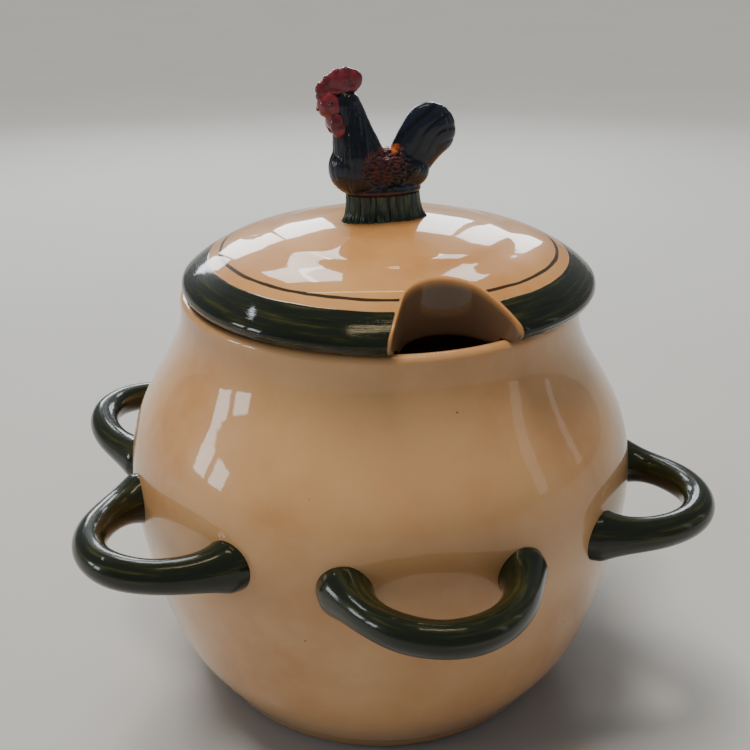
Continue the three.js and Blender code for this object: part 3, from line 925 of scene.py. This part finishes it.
def make_plumage(material):
    shapes = [
        ball((-3, 0, 272.5), (22.1, 10.3, 11.3)),
        ball((-14.3, 0, 275), (13.1, 9.9, 13.2)),
        ball((-0.9, 0, 263.6), (19.3, 9.9, 3.5)),
        ball((-0.5, 0, 265.5), (18.6, 9.6, 3.5)),
        ball((12.5, 0, 271.5), (9.8, 7.6, 8.0)),
        *limb(NECK_SPINE, NECK_RADII, 0.85),
        *limb(TAIL_SPINE, TAIL_RADII, 0.44),
    ]
    mesh = feathered(sculpt(shapes, 0.4, 16))
    replaced = ["rooster_body", "rooster_tail"]
    add_piece("rooster_plumage", mesh, material, "lid", replaced)


def make_wings(material):
    for name, side in (("left", -1), ("right", 1)):
        shapes = [
            ball((-6.5, side * 7.4, 274.8), (8.0, 3.6, 6.6)),
            ball((1, side * 7.6, 274), (9.5, 3.3, 6.6)),
            ball((8.5, side * 6.9, 273.6), (7.5, 2.6, 4.6)),
        ]
        mesh = feathered(sculpt(shapes, 0.32, 12))
        node = f"rooster_wing_{name}"
        add_piece(f"{node}_feathers", mesh, material, "lid", [node])


def modelled(shapes, voxel, smoothing, lump_size, lump_height):
    """A small skin with the unevenness of hand modelling."""
    mesh = sculpt(shapes, voxel, smoothing)
    places, _ = skin_arrays(mesh)
    return carve(mesh, lump_height * noise_at(places, lump_size, 1.3), {})


def make_comb(material):
    spine = [(-30.1, 311.8), (-27.3, 313.1), (-23, 314.3), (-19, 314.9), (-15.9, 315.4)]
    shapes = [
        *limb(spine, [3.1, 4.3, 5.8, 6.1, 5.2], 0.5),
        ball((-16.6, 0, 312.4), (4.0, 2.7, 3.2)),
        ball((-23.0, 0, 310.8), (8.0, 2.8, 2.6)),
        ball((-29.8, 0, 309.8), (2.8, 2.2, 3.0)),
        ball((-31.0, 0, 313.9), (1.5, 1.5, 1.3)),
        ball((-27.6, 0, 316.7), (1.9, 1.7, 1.3)),
        ball((-23.2, 0, 319.1), (2.2, 1.9, 1.4)),
        ball((-18.4, 0, 320.2), (2.3, 2.0, 1.1)),
    ]
    mesh = modelled(shapes, 0.32, 14, 5.0, 0.35)
    add_piece("rooster_crest", mesh, material, "lid", ["rooster_comb"])


def make_face(material):
    shapes = [
        ball((-27.0, 0, 304.6), (5.4, 5.0, 6.3)),
        ball((-24.8, 0, 303.4), (3.8, 5.5, 6.2)),
        ball((-24.9, 0, 298.6), (4.0, 5.6, 5.4)),
        ball((-30.6, 0, 308.4), (2.3, 2.3, 2.2)),
    ]
    mesh = modelled(shapes, 0.32, 16, 3.2, 0.35)
    add_piece("rooster_cheeks", mesh, material, "lid", ["rooster_face"])


def make_pairs(red, eye):
    for name, side in (("left", -1), ("right", 1)):
        lobes = [
            ball((-24.3, side * 4.7, 296.4), (3.4, 2.3, 5.0)),
            ball((-23.3, side * 4.9, 294.0), (3.5, 2.3, 3.9)),
        ]
        mesh = modelled(lobes, 0.28, 10, 2.4, 0.15)
        node = f"rooster_wattle_{name}"
        add_piece(f"{node}_lobes", mesh, red, "lid", [node])
        mesh = modelled([ball((-27.2, side * 4.7, 305.6), (1.15, 1.2, 1.15))], 0.12, 8, 1, 0)
        node = f"rooster_eye_{name}"
        add_piece(f"{node}_bead", mesh, eye, "lid", [node])


def make_beak(material):
    bill = limb([(-29.8, 304.2), (-31.2, 303.6), (-32.1, 302.8)], [2.3, 1.8, 1.0], 0.85)
    mesh = modelled(bill, 0.2, 8, 1, 0)
    add_piece("rooster_bill", mesh, material, "lid", ["rooster_beak"])


# ---------------------------------------------------------------- stage

LAMP_DISTANCE = 1.65
LAMP_AIM = (0, 0, 0.2)
KEY_LIGHT = (1.0, 0.95, 0.88)
WINDOW_LIGHT = (0.9, 0.96, 1.0)
LAMP_LIGHT = (1.0, 0.78, 0.45)


def make_floor(material):
    size = 30000
    points = [(-size, -size, 0), (size, -size, 0), (size, size, 0), (-size, size, 0)]
    mesh = make_mesh(points, [[0, 1, 2, 3]])
    mesh.materials.append(material)
    floor = bpy.data.objects.new("floor", mesh)
    bpy.context.scene.collection.objects.link(floor)


def add_light(data, azimuth, elevation, colour):
    """A light that shines from a direction. azimuth turns clockwise from +Y, in degrees."""
    data.color = colour
    light = bpy.data.objects.new(data.name, data)
    azimuth, elevation = math.radians(azimuth), math.radians(elevation)
    level = math.cos(elevation)
    out = Vector((math.sin(azimuth) * level, math.cos(azimuth) * level, math.sin(elevation)))
    light.rotation_euler = (-out).to_track_quat("-Z", "Y").to_euler()
    light.visible_camera = False
    bpy.context.scene.collection.objects.link(light)
    return light


def softbox(name, azimuth, elevation, size, brightness, colour):
    """A rectangular lamp, aimed at the pot, that shows in the gloss."""
    data = bpy.data.lights.new(name, "AREA")
    data.shape = "RECTANGLE"
    data.size, data.size_y = size
    data.energy = brightness * math.pi * size[0] * size[1]
    light = add_light(data, azimuth, elevation, colour)
    light.location = Vector(LAMP_AIM) - light.matrix_basis.to_3x3() @ Vector((0, 0, -LAMP_DISTANCE))


def overhead(azimuth, elevation, brightness, spread, colour):
    """An even, soft key that lights the whole floor and doesn't show in the gloss."""
    data = bpy.data.lights.new("overhead", "SUN")
    data.energy = brightness
    data.angle = math.radians(spread)
    light = add_light(data, azimuth, elevation, colour)
    light.visible_glossy = False


def make_lights():
    """A soft key from above, and window panes and small lamps that show in the gloss."""
    world = bpy.data.worlds.new("studio")
    world.use_nodes = True
    background = world.node_tree.nodes["Background"]
    background.inputs["Color"].default_value = (0.92, 0.95, 1.0, 1)
    background.inputs["Strength"].default_value = 0.2
    bpy.context.scene.world = world
    overhead(-52, 76, 2.8, 24, KEY_LIGHT)
    softbox("back_window_end", -19, 17, (0.22, 0.34), 9, WINDOW_LIGHT)
    for column, azimuth in (("left", -10), ("right", -1)):
        softbox(f"back_window_low_{column}", azimuth, 18, (0.22, 0.34), 9, WINDOW_LIGHT)
        softbox(f"back_window_high_{column}", azimuth, 41, (0.22, 0.3), 9, WINDOW_LIGHT)
    for column, azimuth in (("left", 19), ("right", 27.5)):
        softbox(f"garden_door_low_{column}", azimuth, 20, (0.2, 0.5), 8, WINDOW_LIGHT)
        softbox(f"garden_door_high_{column}", azimuth, 42, (0.2, 0.16), 8, WINDOW_LIGHT)
    for column, azimuth in (("left", -97), ("right", -86)):
        softbox(f"side_window_{column}", azimuth, 11, (0.22, 0.3), 9, WINDOW_LIGHT)
    for azimuth, width in ((96, 0.1), (119, 0.16)):
        softbox(f"right_window_{azimuth}", azimuth, 14, (width, 0.7), 0.8, WINDOW_LIGHT)
    softbox("skylight", -57, 47, (0.24, 0.06), 14, WINDOW_LIGHT)
    softbox("ceiling_lamp_back", -2, 58, (0.6, 0.04), 7, LAMP_LIGHT)
    softbox("ceiling_lamp", 180, 85, (0.8, 0.14), 8, LAMP_LIGHT)


def make_camera():
    """Looks at the pot from a little to the left of its front handle, from above."""
    data = bpy.data.cameras.new("camera")
    data.sensor_width = 36
    data.lens = 50.0
    data.shift_x, data.shift_y = -0.0067, 0.0008
    camera = bpy.data.objects.new("camera", data)
    azimuth, pitch, distance = math.radians(-11), math.radians(23.66), 0.498
    camera.location = (math.sin(azimuth) * distance, -math.cos(azimuth) * distance, 0.3829)
    camera.rotation_euler = Euler((math.pi / 2 - pitch, 0, azimuth))
    bpy.context.scene.collection.objects.link(camera)
    bpy.context.scene.camera = camera


# ---------------------------------------------------------------- the scene

make_camera()
make_lights()
make_floor(floor_paint())

ivory = ivory_glaze()
make_pot(ivory)
make_handles(handle_glaze())
make_lid(lid_glaze())
make_flange(ivory)
make_grass(grass_glaze())
plumage = plumage_glaze()
make_plumage(plumage)
make_wings(plumage)
red = red_glaze()
make_comb(red)
make_face(red)
make_pairs(red, eye_glaze())
make_beak(beak_glaze())
